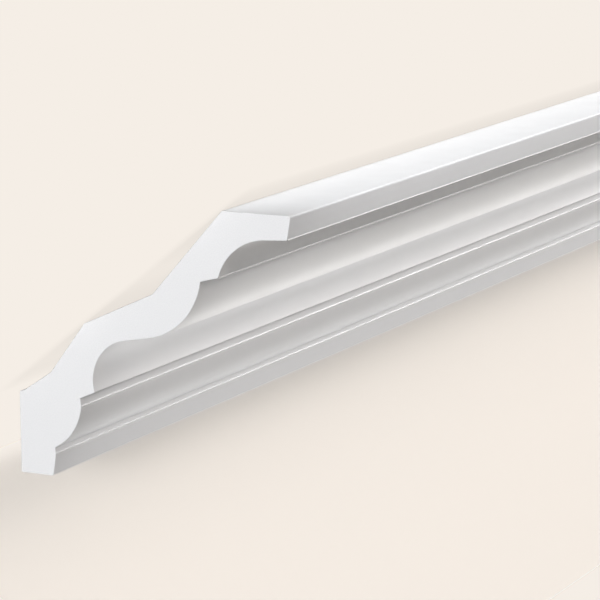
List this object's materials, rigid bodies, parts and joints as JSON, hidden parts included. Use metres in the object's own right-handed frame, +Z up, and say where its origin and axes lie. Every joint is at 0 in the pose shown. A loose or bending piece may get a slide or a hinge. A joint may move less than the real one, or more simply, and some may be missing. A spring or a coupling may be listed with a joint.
{
  "type": "cornice moulding",
  "caption": "Straight length of cornice moulding with ovolo, ogee and cove members, a relieved back, and flat faces for wall and ceiling.",
  "frame": {"origin": "on the floor, under the middle of the stock as it lies on its back", "axes": "+Y along the length, +Z up from the floor, +X towards the edge that goes against the wall; the moulded face is turned up"},
  "size_m": [0.1628, 2, 0.0393],
  "materials": {
    "cornice_moulding": "satin"
  },
  "bodies": {
    "root": {"cornice_moulding": "cornice_moulding"}
  },
  "joints": []
}
